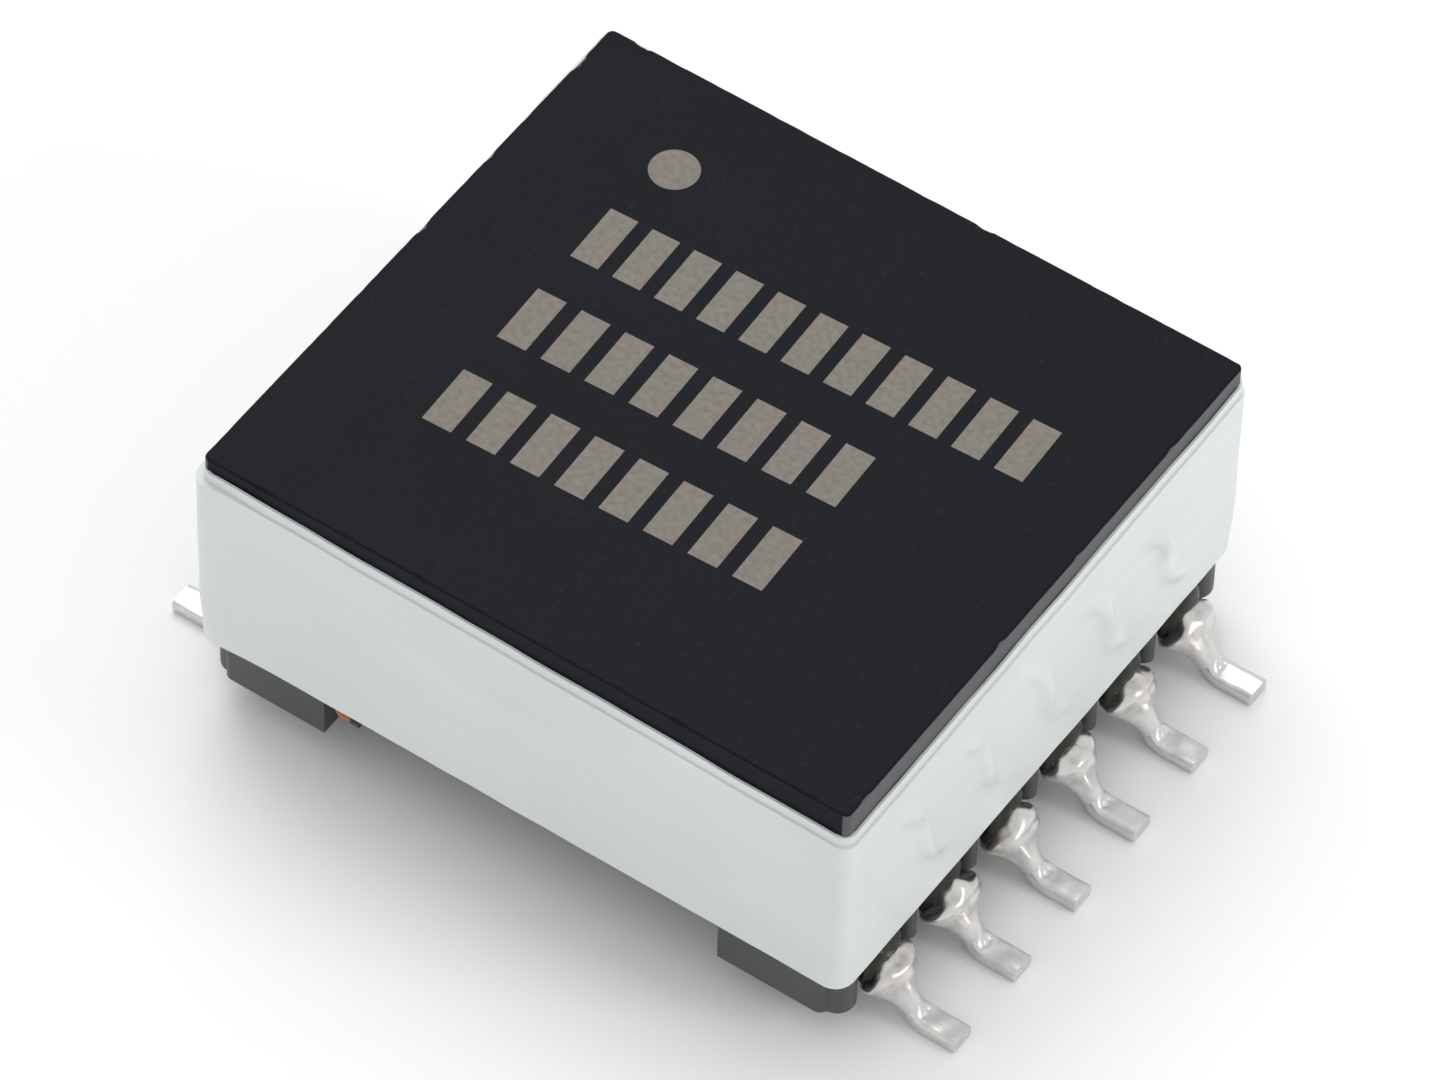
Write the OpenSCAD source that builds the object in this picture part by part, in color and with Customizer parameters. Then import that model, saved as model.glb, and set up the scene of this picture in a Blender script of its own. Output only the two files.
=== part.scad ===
// Low, surface-mount power transformer for a circuit board.
// Two ferrite core halves are stacked round the tube of one moulded bobbin. Six windings
// lie in layers on the tube, and each starts at a terminal on one side and ends at the
// terminal opposite. A band of tape, two turns round, closes the four sides.
// Millimetres. The undersides of the terminals' feet are at z = 0, the middle of the
// footprint is x = y = 0, the two rows of terminals run along Y, and +Z is up.

/* [Core] */
// Width of the upper core half, across the rows of terminals
core_w = 21.5; // [21:0.1:24]
// Depth of both core halves, along the rows of terminals
core_d = 19.5; // [19.3:0.1:21.5]
// Height of each core half
half_h = 3.8; // [3.7:0.1:5]
// Thickness of each half's back plate
plate_t = 1.9; // [1.5:0.1:2]
// Thickness of an outer leg at its thinnest place
leg_t = 2.4; // [2.3:0.05:2.5]
// Clear way between the two outer legs, at their ends
opening_w = 12.3; // [12:0.1:12.6]
// Diameter of the round centre post
post_d = 9; // [8:0.1:9]
// Air gap ground into each half's centre post
post_gap = 0.15; // [0.05:0.01:0.4]
// Radius of the core's upright corners
core_corner = 0.2; // [0.1:0.05:0.5]
// Thickness of the adhesive between the outer legs
glue_t = 0.05; // [0.03:0.01:0.1]

/* [Bobbin] */
// Height of the rails' undersides above the board
standoff = 1.3; // [1:0.05:2]
// How far the rails reach below the core's underside
rail_drop = 1.65; // [1.4:0.05:2.2]
// Width of each terminal rail, without its ridges
rail_w = 3.55; // [3.2:0.05:3.6]
// Radius of the rails' outer corners
rail_corner = 0.3; // [0.1:0.05:0.5]
// How far the ridges stand out of the rail's outer face
ridge_out = 0.5; // [0.4:0.05:0.6]
// Width of a ridge between two terminals
ridge_w = 1.1; // [0.8:0.05:1.2]
// Length of a ridge post, measured in from its nose, above the deck
ridge_post = 1.2; // [0.8:0.1:2]
// Chamfer round the top of a ridge's nose
ridge_chamfer = 0.25; // [0.05:0.05:0.35]
// Thickness of the two flanges
flange_t = 0.5; // [0.4:0.05:0.55]
// Thickness of the tube's wall
tube_t = 0.6; // [0.5:0.05:0.6]

/* [Windings] */
// Diameter of the enamelled wire
wire_d = 0.27; // [0.2:0.01:0.28]
// Turns of each winding, side by side in one layer
turns = 8; // [4:1:8]
// Thickness of the tape between two windings
layer_t = 0.04; // [0.02:0.01:0.05]
// How much of a terminal's offset its lead already has where it leaves the coil
lead_fan = 0.55; // [0.5:0.05:0.6]

/* [Wire tail] */
// Length of the cut wire end inside the rail
tail_in = 1; // [0.5:0.1:1.5]
// Length of the cut wire end that shows below the core
tail_out = 0.95; // [0.5:0.05:1.5]
// Distance of the wire end from the rail's -Y end
tail_back = 0.35; // [0.3:0.05:0.6]
// Distance of the wire end's axis below the core
tail_under = 0.45; // [0.3:0.05:0.6]

/* [Terminals] */
// Terminals on each side, which is also the number of windings
per_side = 6; // [2:1:6]
// Distance between neighbouring terminals
pitch = 3; // [2.9:0.05:3.05]
// Diameter of the terminal wire
pin_d = 0.7; // [0.5:0.02:0.72]
// Height of the terminal wire's axis above the rail's underside
pin_up = 0.5; // [0.45:0.05:0.7]
// Length of the terminal wire pressed into the rail
pin_in = 2.4; // [1.5:0.1:2.8]
// Size over the tips of the two rows of feet
reach = 26.8; // [26.2:0.1:28.5]
// Length of the flat foot
foot_len = 1.05; // [0.8:0.05:1.2]
// Width of the flat foot
foot_w = 0.86; // [0.72:0.02:1]
// Thickness of the flat foot
foot_t = 0.46; // [0.4:0.02:0.5]
// Radius along the foot's edges
foot_r = 0.12; // [0.05:0.01:0.18]
// Slope of the terminal between its two bends, in degrees
bend_deg = 48; // [44:1:56]
// Centre-line radius of the upper bend
bend_r1 = 0.45; // [0.4:0.05:0.6]
// Centre-line radius of the lower bend
bend_r2 = 0.8; // [0.6:0.05:1]

/* [Solder joints] */
// Radius of the solder against the rail
solder_r = 0.88; // [0.8:0.02:0.9]
// Length of the solder's flare
solder_flare = 0.4; // [0.3:0.05:0.5]
// Turns of lead wire wrapped round a terminal
wraps = 2; // [1:1:2]

/* [Tape] */
// Thickness of one turn of the tape
tape_t = 0.07; // [0.05:0.01:0.12]
// How far the tape reaches below the core's underside
tape_low = 0.02; // [0:0.01:0.1]
// Width of core left bare above the tape, at the middle of the top
tape_bare = 0.55; // [0.4:0.05:0.9]
// How much lower the outer turn's upper edge lies than the inner turn's
tape_step = 0.38; // [0.1:0.02:0.8]
// Slope of the tape's upper edge along X, in degrees, falling towards +X
tape_slope_x = 1.3; // [0:0.1:1.8]
// Slope of the tape's upper edge along Y, in degrees, rising towards +Y
tape_slope_y = 0.9; // [0:0.1:1.2]
// Length of the third layer, where the tape's end laps over on the -X side
lap_len = 12; // [6:0.5:14]

/* [Fits] */
// Clearance between the core and the bobbin
core_fit = 0.05; // [0.03:0.01:0.08]
// Clearance round a terminal in its hole and its solder
pin_fit = 0.02; // [0.01:0.005:0.03]
// Clearance of the wire and tape layers from what they lie on
lay_fit = 0.01; // [0.005:0.005:0.02]
// Clearance of the tape band from the core and ridges
band_fit = 0.03; // [0.02:0.01:0.06]

/* [Hidden] */
$fn = 48;
slice = 0.01;                    // thickness of a section that a hull joins
cut = 1;                         // how far a cutter runs past what it cuts
bend_steps = 4;                  // sections over each bend of a terminal
corner_steps = 4;                // facets over each quarter of a terminal's section

// Heights
core_z = standoff + rail_drop;
mate_z = core_z + half_h;
upper_z = mate_z + glue_t;
top_z = upper_z + half_h;
flange_z = core_z + plate_t + core_fit;
deck_z = flange_z + flange_t;
flange_up_z = top_z - plate_t - core_fit - flange_t;
pin_z = standoff + pin_up;
tape_z = core_z - tape_low;
tape_top = top_z - tape_bare;

// Widths
ridge_r = ridge_w / 2;
ridge_x = core_w / 2 - ridge_r;
rail_x1 = core_w / 2 - ridge_out;
rail_x0 = rail_x1 - rail_w;
lower_w = 2 * (rail_x0 - core_fit);
leg_in = core_d / 2 - leg_t;
flange_r = leg_in - core_fit;
flange_y = opening_w / 2 - core_fit;
tube_in = post_d / 2 + core_fit;
tube_r = tube_in + tube_t;

// Windings
lead_z = deck_z + lay_fit + wire_d / 2;
coil_z = lead_z + wire_d / 2 + 3 * lay_fit;
coil_top = flange_up_z - lay_fit;
turn_step = (coil_top - coil_z - wire_d) / (turns - 1);
band_t = 0.6 * wire_d;           // web that joins the turns of one layer
layer_step = wire_d + layer_t + 2 * lay_fit;
groove_x = rail_x1 + lay_fit + wire_d / 2;
elbow_d = 1.06 * wire_d;         // a bent wire's outside at its elbow
riser_d = 0.86 * wire_d;         // a bent wire's neck where it leaves the coil

// Terminals
foot_z = foot_t / 2;
foot_x = reach / 2 - foot_len;
drop = pin_z - foot_z;
bends = bend_r1 + bend_r2;
slope_len = (drop - bends * (1 - cos(bend_deg))) / sin(bend_deg);
bend_x = foot_x - bends * sin(bend_deg) - slope_len * cos(bend_deg);

// Where the wire tail leaves the -X rail
tail_at = [-rail_x0, tail_back - core_d / 2, core_z - tail_under];

// Solder joints
wrap_r = pin_d / 2 + wire_d;
solder_x = rail_x1 + pin_fit;
wrap_x = solder_x + solder_flare;
wrap_end = wrap_x + wraps * wire_d;
solder_tip = wrap_end + wrap_r / 2;
flare_round = [0.82, 0.3];       // parts of the radius and length where the flare is fullest
tip_round = [0.8, 0.5];          // parts of the radius at the tip's two edges

function terminal_y(i) = ((i - 1) % per_side - (per_side - 1) / 2) * pitch;
function terminal_side(i) = i <= per_side ? 1 : -1;
function coil_r(i) = tube_r + lay_fit + (i - 1) * layer_step + wire_d / 2;

// A flat rectangle with round corners
module rounded(w, d, r) {
    square([w - 2 * r, d], center = true);
    square([w, d - 2 * r], center = true);
    for (x = [-1, 1], y = [-1, 1])
        translate([x * (w / 2 - r), y * (d / 2 - r)]) circle(r = r);
}

// A round rod from one point to another
module rod(a, b, d) {
    v = b - a;
    len = norm(v);
    translate(a) rotate([0, acos(v.z / len), atan2(v.y, v.x)]) cylinder(d = d, h = len);
}

// ---- Core ----

// Back plate, two outer legs with concave inner faces and a round centre post
module core_half(w) {
    linear_extrude(plate_t) rounded(w, core_d, core_corner);
    difference() {
        linear_extrude(half_h) rounded(w, core_d, core_corner);
        translate([-w / 2 - cut, -opening_w / 2, -cut]) cube([w + 2 * cut, opening_w, half_h + 2 * cut]);
        translate([0, 0, -cut]) cylinder(r = leg_in, h = half_h + 2 * cut, $fn = 96);
    }
    cylinder(d = post_d, h = half_h - post_gap, $fn = 96);
}

module core_lower() color("#2d2e32") translate([0, 0, core_z]) core_half(lower_w);

module core_upper() color("#26272c") translate([0, 0, top_z]) mirror([0, 0, 1]) core_half(core_w);

// One film of adhesive on each outer leg of the lower half
module core_adhesive() color("#8a7a4c") translate([0, 0, mate_z])
    difference() {
        linear_extrude(glue_t) rounded(lower_w, core_d, core_corner);
        translate([-core_w / 2, -opening_w / 2, -cut]) cube([core_w, opening_w, glue_t + 2 * cut]);
        translate([0, 0, -cut]) cylinder(r = leg_in, h = glue_t + 2 * cut, $fn = 96);
    }

// ---- Bobbin ----

// The rails' outline, as deep as the core
module rails() {
    intersection() {
        translate([0, 0, standoff])
            linear_extrude(deck_z - standoff) rounded(2 * rail_x1, core_d, rail_corner);
        for (side = [-1, 1])
            translate([side * (rail_x0 + rail_w / 2) - rail_w / 2, -core_d / 2 - cut, standoff - cut])
                cube([rail_w, core_d + 2 * cut, deck_z - standoff + 2 * cut]);
    }
}

// An upright ridge that guides the leads, with a round nose and a post above the deck
module ridge() {
    body_h = mate_z - core_fit - standoff - ridge_chamfer;
    translate([ridge_x, 0, standoff]) {
        cylinder(r = ridge_r, h = body_h);
        translate([0, 0, body_h]) cylinder(r1 = ridge_r, r2 = ridge_r - ridge_chamfer, h = ridge_chamfer);
    }
    translate([core_w / 2 - ridge_post, -ridge_r, standoff + rail_drop])
        cube([ridge_post - ridge_r, ridge_w, body_h - rail_drop]);
}

module bobbin() color("#35363a") {
    difference() {
        union() {
            rails();
            for (side = [0, 180], i = [0:per_side])
                rotate([0, 0, side]) translate([0, (i - per_side / 2) * pitch, 0]) ridge();
            translate([0, 0, flange_z]) {
                cylinder(r = flange_r, h = flange_t, $fn = 96);
                translate([rail_w / 2 - rail_x1, -flange_y, 0]) cube([2 * rail_x1 - rail_w, 2 * flange_y, flange_t]);
            }
            translate([0, 0, flange_z]) cylinder(r = tube_r, h = flange_up_z + flange_t - flange_z, $fn = 96);
            translate([0, 0, flange_up_z]) cylinder(r = flange_r, h = flange_t, $fn = 96);
        }
        translate([0, 0, flange_z - cut])
            cylinder(r = tube_in, h = flange_up_z + flange_t - flange_z + 2 * cut, $fn = 96);
        for (i = [1:2 * per_side]) on_side(i)
            translate([rail_x1 - pin_in - pin_fit, 0, pin_z]) rotate([0, 90, 0])
                cylinder(d = pin_d + 2 * pin_fit, h = pin_in + pin_fit + cut);
        translate(tail_at) rotate([0, 90, 0])
            translate([0, 0, -tail_in - lay_fit]) cylinder(d = wire_d + 2 * pin_fit, h = tail_in + cut);
    }
}

// ---- Windings ----

// One layer of turns and its two leads, which run out over the rails to opposite terminals
module winding(i) color("#b9683a") {
    r = coil_r(i);
    y = terminal_y(i);
    y0 = lead_fan * y;
    x0 = sqrt(r * r - y0 * y0);
    rotate_extrude($fn = 96) {
        translate([r - band_t / 2, coil_z + wire_d / 2]) square([band_t, (turns - 1) * turn_step]);
        for (t = [0:turns - 1])
            translate([r, coil_z + wire_d / 2 + t * turn_step]) circle(d = wire_d, $fn = 24);
    }
    for (side = [-1, 1]) {
        start = [side * x0, y0, lead_z];
        edge = [side * groove_x, y, lead_z];
        end_z = pin_z + solder_r + pin_fit;
        translate(start) cylinder(d = riser_d, h = coil_z + wire_d / 2 - lead_z, $fn = 24);
        rod(start, edge, wire_d, $fn = 24);
        for (elbow = [start, edge]) translate(elbow) sphere(d = elbow_d, $fn = 24);
        translate([edge.x, edge.y, end_z]) cylinder(d = wire_d, h = lead_z - end_z, $fn = 24);
    }
}

// The turn of tape that lies over winding i
module layer_tape(i) color("#e3c878") translate([0, 0, coil_z])
    difference() {
        cylinder(r = coil_r(i) + wire_d / 2 + lay_fit + layer_t, h = coil_top - coil_z, $fn = 96);
        translate([0, 0, -cut])
            cylinder(r = coil_r(i) + wire_d / 2 + lay_fit, h = coil_top - coil_z + 2 * cut, $fn = 96);
    }

// ---- Terminals ----

// Puts a piece made for the +X row, at y = 0, at terminal i
module on_side(i) {
    if (terminal_side(i) > 0) translate([0, terminal_y(i), 0]) children();
    else translate([0, terminal_y(i), 0]) mirror([1, 0, 0]) children();
}

// The stations along a terminal. Each is [x, z, slope in degrees, how far it is coined]:
// 0 is the round wire, and 1 is the flat foot.
stations = concat(
    [[rail_x1 - pin_in, pin_z, 0, 0]],
    [for (s = [0:bend_steps]) let (a = bend_deg * s / bend_steps)
        [bend_x + bend_r1 * sin(a), pin_z - bend_r1 * (1 - cos(a)), a, 0]],
    [for (s = [0:bend_steps]) let (t = s / bend_steps, a = bend_deg * (1 - t))
        [foot_x - bend_r2 * sin(a), foot_z + bend_r2 * (1 - cos(a)), a, 1 - pow(1 - t, 1.5)]],
    [[reach / 2, foot_z, 0, 1]]
);

// The outline of a terminal at a station, as points with a quarter round at each corner
function section(st) =
    let (
        w = pin_d + st[3] * (foot_w - pin_d),
        h = pin_d + st[3] * (foot_t - pin_d),
        r = pin_d / 2 - slice / 2 + st[3] * (foot_r - pin_d / 2 + slice / 2)
    )
    [for (q = [0:3], s = [0:corner_steps])
        let (
            a = 90 * (q + s / corner_steps),
            u = (w / 2 - r) * (q == 0 || q == 3 ? 1 : -1) + r * cos(a),
            v = (h / 2 - r) * (q < 2 ? 1 : -1) + r * sin(a)
        )
        [st[0] + v * sin(st[2]), u, st[1] + v * cos(st[2])]];

// Round wire pressed into the rail, bent down, bent out again and coined flat
module formed_wire() {
    m = 4 * (corner_steps + 1);
    n = len(stations);
    skin = [for (i = [0:n - 2], j = [0:m - 1])
        let (a = i * m + j, b = i * m + (j + 1) % m)
        each [[a, b, b + m], [a, b + m, a + m]]];
    start = [for (j = [1:m - 2]) [0, j + 1, j]];
    tip = [for (j = [1:m - 2]) [(n - 1) * m, (n - 1) * m + j, (n - 1) * m + j + 1]];
    polyhedron(points = [for (st = stations) each section(st)], faces = concat(skin, start, tip));
}

module terminal(i) color("#c6c6ca") on_side(i) formed_wire();

// The room that a terminal and its fit take in the solder
module wire_room() {
    elbow_x = bend_x + bend_r1 * tan(bend_deg / 2);
    translate([rail_x1, 0, pin_z]) rotate([0, 90, 0])
        cylinder(d = pin_d + 2 * pin_fit, h = elbow_x - rail_x1 + pin_d / 3);
    translate([elbow_x, 0, pin_z]) rotate([0, 90 + bend_deg, 0])
        translate([0, 0, -pin_d / 4]) cylinder(d = pin_d + 4 * pin_fit, h = slope_len);
}

// Solder that flares against the rail and rounds over the wrapped lead
module solder_joint(i) color("#bdbdc2") on_side(i)
    difference() {
        translate([0, 0, pin_z]) rotate([0, 90, 0]) rotate_extrude() {
            polygon([
                [0, solder_x], [solder_r, solder_x],
                [flare_round[0] * solder_r, solder_x + flare_round[1] * solder_flare],
                [wrap_r - wire_d / 4, wrap_x], [wrap_r - wire_d / 4, wrap_end],
                [tip_round[0] * wrap_r, (wrap_end + solder_tip) / 2], [tip_round[1] * wrap_r, solder_tip],
                [0, solder_tip]
            ]);
            for (t = [0:wraps])
                translate([wrap_r - wire_d / 2, wrap_x + t * wire_d]) circle(d = wire_d, $fn = 24);
        }
        wire_room();
    }

// ---- Tape ----

// The band's form: tight on the core's sharp corners above, rounder over the rails below
module band_form(grow) {
    hull() {
        translate([0, 0, mate_z]) linear_extrude(top_z - mate_z)
            rounded(core_w + 2 * grow, core_d + 2 * grow, core_corner + grow, $fn = 16);
        for (side = [-1, 1], end = [-1, 1]) {
            translate([side * ridge_x, end * per_side / 2 * pitch, tape_z])
                cylinder(r = ridge_r + grow, h = slice, $fn = 32);
            translate([side * (rail_x1 - rail_corner), end * (core_d / 2 - rail_corner), tape_z])
                cylinder(r = rail_corner + grow, h = slice, $fn = 32);
        }
    }
}

// What lies above the tape's slanted upper edge
module above_edge(z) {
    translate([0, 0, z]) rotate([tape_slope_y, tape_slope_x, 0])
        translate([-reach, -reach, 0]) cube([2 * reach, 2 * reach, top_z]);
}

module outer_tape() color("#d5dcdb") {
    difference() {
        union() {
            difference() {
                band_form(band_fit + tape_t);
                above_edge(tape_top);
            }
            difference() {
                band_form(band_fit + 2 * tape_t);
                above_edge(tape_top - tape_step);
            }
            intersection() {
                difference() {
                    band_form(band_fit + 3 * tape_t);
                    above_edge(tape_top - 2 * tape_step);
                }
                translate([-core_w, core_d / 2 - rail_w - lap_len, 0]) cube([core_w, lap_len, top_z]);
            }
        }
        translate([0, 0, -slice]) band_form(band_fit);
    }
}

// ---- Wire tail ----

// The cut end of a lead, tucked into the -X rail below the core
module wire_tail() color("#b9683a")
    translate(tail_at) rotate([0, 90, 0]) translate([0, 0, -tail_in]) cylinder(d = wire_d, h = tail_in + tail_out);

core_upper();
core_lower();
core_adhesive();
bobbin();
outer_tape();
wire_tail();
for (i = [1:per_side]) {
    winding(i);
    layer_tape(i);
}
for (i = [1:2 * per_side]) {
    terminal(i);
    solder_joint(i);
}
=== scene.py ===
"""The finished look of a low surface-mount power transformer.

Two ferrite core halves, a moulded bobbin, wire leads soldered to twelve formed terminals and
a band of tape are dressed over the part's solids. Lengths are in metres, in the part's frame,
unless a comment says that they are in millimetres.
"""

from math import atan2, ceil, copysign, cos, exp, hypot, pi, radians, sin, tan, tau

import bmesh
import bpy
from bpy.props import FloatProperty, FloatVectorProperty, IntProperty, PointerProperty
from mathutils import Matrix, Vector, noise


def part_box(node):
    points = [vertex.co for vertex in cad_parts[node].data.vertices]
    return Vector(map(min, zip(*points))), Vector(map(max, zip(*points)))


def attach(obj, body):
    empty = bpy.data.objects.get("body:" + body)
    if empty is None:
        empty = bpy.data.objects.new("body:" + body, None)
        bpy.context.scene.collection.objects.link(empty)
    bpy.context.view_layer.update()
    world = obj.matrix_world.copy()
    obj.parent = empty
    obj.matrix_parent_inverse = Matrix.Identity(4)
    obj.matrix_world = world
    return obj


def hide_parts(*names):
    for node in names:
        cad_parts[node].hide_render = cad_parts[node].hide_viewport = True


bl_info = {
    "name": "Surface-Mount Transformer",
    "version": (1, 0, 0),
    "blender": (4, 5, 0),
    "location": "View3D > Sidebar > Transformer",
    "description": "Dresses a surface-mount transformer with its finished pieces and materials",
    "category": "Object",
}

MM = 0.001
# Distance between neighbouring terminals, in millimetres
PITCH = 3.0

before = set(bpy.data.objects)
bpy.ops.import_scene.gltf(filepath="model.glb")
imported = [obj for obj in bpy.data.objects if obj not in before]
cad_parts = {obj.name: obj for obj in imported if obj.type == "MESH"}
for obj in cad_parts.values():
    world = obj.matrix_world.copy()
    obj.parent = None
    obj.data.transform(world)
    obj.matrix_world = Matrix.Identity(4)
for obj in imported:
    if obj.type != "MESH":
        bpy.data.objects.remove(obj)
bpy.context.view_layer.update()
CORE_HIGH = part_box("core_upper")[1]
TAPE_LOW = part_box("outer_tape")[0]
RAIL_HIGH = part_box("bobbin")[1]
TAIL_LOW, TAIL_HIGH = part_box("wire_tail")
TERMINALS = [f"terminal_{n + 1}" for n in range(12)]
# The side of the part, 1 or -1, and the y of each terminal
SEATS = [
    (1 if high.x > 0 else -1, (low.y + high.y) / 2) for low, high in map(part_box, TERMINALS)
]


def linear(code):
    """The linear colour of an sRGB hex value."""
    parts = [int(code[i:i + 2], 16) / 255 for i in (1, 3, 5)]
    return tuple(p / 12.92 if p <= 0.04045 else ((p + 0.055) / 1.055) ** 2.4 for p in parts)


def dim(shade, share):
    """A share of a linear colour."""
    return tuple(share * c for c in shade)


def step(low, high, value):
    """0 at low and 1 at high, with a smooth change between them."""
    t = min(max((value - low) / (high - low), 0), 1)
    return t * t * (3 - 2 * t)


def bell(value, middle, width):
    """1 at the middle, falling smoothly to 0 on both sides."""
    return exp(-(((value - middle) / width) ** 2))


def length(name, description, default):
    """A length property."""
    return FloatProperty(
        name=name, description=description, default=default, unit="LENGTH", precision=6
    )


def bearing(name, description, degrees):
    """An angle property."""
    return FloatProperty(
        name=name, description=description, default=radians(degrees), subtype="ANGLE"
    )


def colour(name, description, code):
    """A colour property whose default is an sRGB hex value."""
    return FloatVectorProperty(
        name=name, description=description, subtype="COLOR", size=3, min=0, max=1,
        default=linear(code),
    )


# ---- Settings ----


class CoreSettings(bpy.types.PropertyGroup):
    """Sizes and colours of the ferrite core and its marking."""

    edge: length("Edge", "Rounding that grinding leaves on the top's edges", 0.07 * MM)
    chip: length("Chip depth", "Depth of the largest chips in the top's edges", 0.09 * MM)
    dot: length("Dot", "Diameter of the index dot", 1.5 * MM)
    mark_height: length("Mark height", "Height of one row of print", 2.1 * MM)
    body: colour("Ferrite", "Colour of the ferrite", "#18191f")
    # The side colour is painted reflection of the light from the +X side, put on the faces that
    # look along X
    side: colour("Side", "Colour of the as-fired side faces", "#5e5e60")
    ink: colour("Ink", "Colour of the laser-marked print", "#807a72")


class TapeSettings(bpy.types.PropertyGroup):
    """Sizes and colours of the tape band."""

    thickness: length("Thickness", "Thickness of one turn of the tape", 0.07 * MM)
    outer_edge: length("Outer edge", "Height of the outer turn's upper edge", 9.67 * MM)
    inner_edge: length("Inner edge", "Height of the inner turn's upper edge", 10.05 * MM)
    corner: length("Corner", "Radius of the band at the core's corners", 0.42 * MM)
    low_corner: length("Low corner", "Radius of the band over the rails' corners", 0.62 * MM)
    bump: length("Bump", "How far the leads push the band outwards", 0.27 * MM)
    slack: length("Slack", "How far the outer turn stands off at its loose corner", 0.12 * MM)
    film: colour("Film", "Colour of the tape", "#d8dedd")
    around: IntProperty(name="Around", description="Facets round the band", default=760, min=80)


class BobbinSettings(bpy.types.PropertyGroup):
    """Sizes and colours of the bobbin."""

    edge: length("Edge", "Rounding of the moulded edges", 0.06 * MM)
    nose: FloatProperty(
        name="Nose", description="Width of a ridge's nose, as a share of its foot's",
        default=0.68, min=0.3, max=1, subtype="FACTOR",
    )
    plastic: colour("Plastic", "Colour of the moulded plastic", "#45464a")


class WireSettings(bpy.types.PropertyGroup):
    """Sizes and colours of the windings, the loose wire end and the insulation."""

    droop: length("Droop", "How far the loose wire end hangs down", 0.1 * MM)
    enamel: colour("Enamel", "Colour of the enamelled copper", "#b4602c")
    # The end's colour is painted shade, for the shadow under the core where the loose end hangs
    shaded_end: colour("Shaded end", "Colour of the burnt tip of the loose end", "#2a2320")
    amber: colour("Layer tape", "Colour of the tape between the layers", "#d8a84e")
    glue: colour("Adhesive", "Colour of the cured adhesive", "#7d6a3c")


class TerminalSettings(bpy.types.PropertyGroup):
    """Sizes and colours of the terminals and their solder."""

    wire: length("Wire", "Diameter of the terminal wire", 0.7 * MM)
    flare: length("Flare", "Depth of the solder on the wire's sides at the rail", 0.6264 * MM)
    tin: colour("Tin", "Colour of the tin plating and the solder", "#dddbd9")
    flux: colour("Flux", "Colour of the flux residue", "#a08a70")
    varnish: colour("Varnish", "Colour of the varnish and burnt flux on the leads", "#24251a")


class StageSettings(bpy.types.PropertyGroup):
    """The camera, the floor and the light."""

    azimuth: bearing("Azimuth", "Angle of the camera round the part", 33.34)
    elevation: bearing("Elevation", "Angle of the camera above the floor", 50.85)
    roll: bearing("Roll", "Turn of the camera about its view", 1.85)
    distance: length("Distance", "Distance of the camera from the part", 293.3 * MM)
    lens: FloatProperty(
        name="Lens", description="Focal length in millimetres", default=261.6,
        subtype="DISTANCE_CAMERA",
    )
    ambient: FloatProperty(
        name="Ambient", description="Strength of the light from all round", default=0.85, min=0
    )
    key: FloatProperty(
        name="Key", description="Power of the large light above", default=1.1, unit="POWER"
    )
    side: FloatProperty(
        name="Side", description="Power of the light on the terminals", default=0.35, unit="POWER"
    )
    paper: colour("Floor", "Colour of the floor", "#f4f4f4")


class TransformerSettings(bpy.types.PropertyGroup):
    """All the settings of the transformer."""

    core: PointerProperty(type=CoreSettings)
    tape: PointerProperty(type=TapeSettings)
    bobbin: PointerProperty(type=BobbinSettings)
    wire: PointerProperty(type=WireSettings)
    terminal: PointerProperty(type=TerminalSettings)
    stage: PointerProperty(type=StageSettings)


# ---- Materials ----

NOISE, RANGE, BUMP = "ShaderNodeTexNoise", "ShaderNodeMapRange", "ShaderNodeBump"


def add(tree, kind, values=None, **settings):
    """Adds a node with its settings and the values or links of its inputs. Returns its outputs."""
    made = tree.nodes.new(kind)
    for key, value in settings.items():
        setattr(made, key, value)
    for key, value in (values or {}).items():
        if isinstance(value, bpy.types.NodeSocket):
            tree.links.new(value, made.inputs[key])
        elif made.inputs[key].type == "RGBA":
            made.inputs[key].default_value = (*value[:3], 1)
        else:
            made.inputs[key].default_value = value
    return made.outputs


def blank(name):
    """A new material, its empty tree, and Object coordinates in it."""
    material = bpy.data.materials.new(name)
    material.use_nodes = True
    tree = material.node_tree
    tree.nodes.clear()
    return material, tree, add(tree, "ShaderNodeTexCoord")["Object"]


def dressed(material, values):
    """Ends a material with a Principled shader that takes these values and links."""
    tree = material.node_tree
    shader = add(tree, "ShaderNodeBsdfPrincipled", values)
    add(tree, "ShaderNodeOutputMaterial", {"Surface": shader["BSDF"]})
    return material


def spots(place, size, detail=2):
    """The inputs of a noise whose spots are size metres wide."""
    return {"Vector": place, "Scale": 1 / size, "Detail": detail}


def ranges(value, low, high, to_low=0, to_high=1):
    """The inputs that map a value's range low to high onto another range."""
    return {"Value": value, "From Min": low, "From Max": high, "To Min": to_low, "To Max": to_high}


def mottle(tree, pattern, low, high, one, other, most=1):
    """Goes from one colour most of the way to another, as a pattern goes from low to high."""
    share = add(tree, RANGE, ranges(pattern, low, high, 0, most))["Result"]
    return add(tree, "ShaderNodeMix", {0: share, 6: one, 7: other}, data_type="RGBA")[2]


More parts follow.
